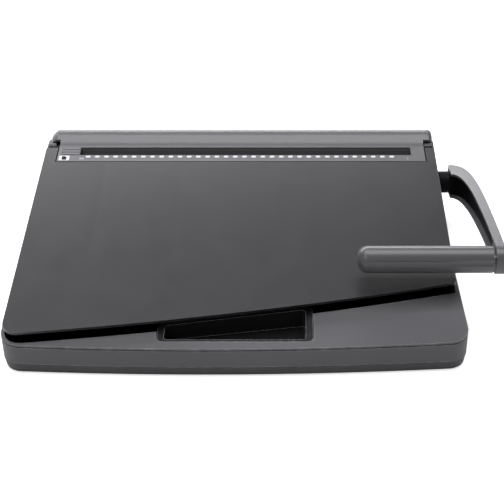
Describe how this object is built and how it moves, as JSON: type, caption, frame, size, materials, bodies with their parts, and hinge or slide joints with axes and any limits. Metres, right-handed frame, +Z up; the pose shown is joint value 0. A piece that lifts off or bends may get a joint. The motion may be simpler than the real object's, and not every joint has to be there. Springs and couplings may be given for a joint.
{
  "type": "comb binding machine",
  "caption": "Low wedge-shaped manual punch-and-bind machine with rear-hinged lid, vertical paper slot, wire closer under the lid and a pull handle on the right.",
  "frame": {"origin": "table level under the middle of the case, at the centre of the middle foot's sole", "axes": "+X to the machine's right, where the handle is, +Y to the rear, +Z up"},
  "size_m": [0.399, 0.2821, 0.0761],
  "materials": {
    "housing_plastic": "fine texture charcoal",
    "lid_plastic": "fine texture charcoal",
    "well_plastic": "gloss black",
    "black_plastic": "satin black",
    "handle_plastic": "satin charcoal",
    "core_plastic": "satin black",
    "foot_rubber": "matt",
    "frame_steel": "zinc plated",
    "tool_steel": "ground",
    "bush_brass": "sintered bronze",
    "screw_steel": "zinc plated"
  },
  "bodies": {
    "base": {"base_pan": "housing_plastic", "rubber_feet": "foot_rubber", "pan_screws": "screw_steel", "upper_housing": "housing_plastic", "finger_well": "well_plastic", "rear_cover": "housing_plastic", "slot_liner": "black_plastic", "side_frame_left": "frame_steel", "side_frame_right": "frame_steel", "tie_rods": "frame_steel", "frame_screws": "screw_steel", "guide_plate": "tool_steel", "die_plate": "tool_steel", "paper_stop": "black_plastic", "inner_tray": "black_plastic", "mechanism_cover": "black_plastic", "anvil_screws": "screw_steel", "shaft_bushes": "bush_brass", "handle_bushes": "bush_brass", "hinge_bracket_left": "frame_steel", "hinge_bracket_right": "frame_steel", "hinge_pins": "tool_steel", "hinge_screws": "screw_steel", "lid_bumpers": "foot_rubber"},
    "lid": {"lid": "lid_plastic"},
    "handle": {"handle_shaft": "tool_steel", "handle_pinion": "tool_steel", "handle_hub": "core_plastic", "arm_shell": "handle_plastic", "arm_core": "core_plastic", "grip_upper": "handle_plastic", "grip_lower": "handle_plastic", "grip_rod": "tool_steel"},
    "punch_shaft": {"punch_shaft": "tool_steel", "reduction_gear": "tool_steel", "drive_pinions": "tool_steel"},
    "punch_carriage": {"punch_pins": "tool_steel", "pressure_bar": "tool_steel", "backing_strip": "tool_steel", "rack_left": "tool_steel", "rack_right": "tool_steel", "draw_bars": "frame_steel", "closer_jaw": "frame_steel"},
    "closer_anvil": {"closer_anvil": "frame_steel"},
    "edge_guide": {"edge_guide": "black_plastic"},
    "chip_tray": {"chip_tray": "housing_plastic"}
  },
  "joints": [
    {"name": "lid_hinge", "type": "hinge", "parent": "base", "child": "lid", "pos_m": [0, 0.1165, 0.0635], "axis": [-1, 0, 0], "range_deg": [0, 100]},
    {"name": "handle_turn", "type": "hinge", "parent": "base", "child": "handle", "pos_m": [0.188, 0.089, 0.0422], "axis": [-1, 0, 0], "range_deg": [0, 85]},
    {"name": "punch_shaft_turn", "type": "hinge", "parent": "base", "child": "punch_shaft", "pos_m": [0, 0.07219, 0.0292], "axis": [-1, 0, 0], "range_deg": [-36, 0]},
    {"name": "punch_stroke", "type": "slide", "parent": "base", "child": "punch_carriage", "axis": [0, -1, 0], "range_m": [0, 0.0093]},
    {"name": "closer_size", "type": "slide", "parent": "base", "child": "closer_anvil", "axis": [0, -1, 0], "range_m": [0, 0.009]},
    {"name": "edge_guide_slide", "type": "slide", "parent": "base", "child": "edge_guide", "axis": [1, 0, 0], "range_m": [0, 0.02]},
    {"name": "chip_tray_slide", "type": "slide", "parent": "base", "child": "chip_tray", "axis": [0, 1, 0], "range_m": [0, 0.03]}
  ],
  "couplings": [
    {"joint": "punch_shaft_turn", "follows": "handle_turn", "ratio": -0.41667},
    {"joint": "punch_stroke", "follows": "handle_turn", "m_per_rad": 0.00625}
  ]
}
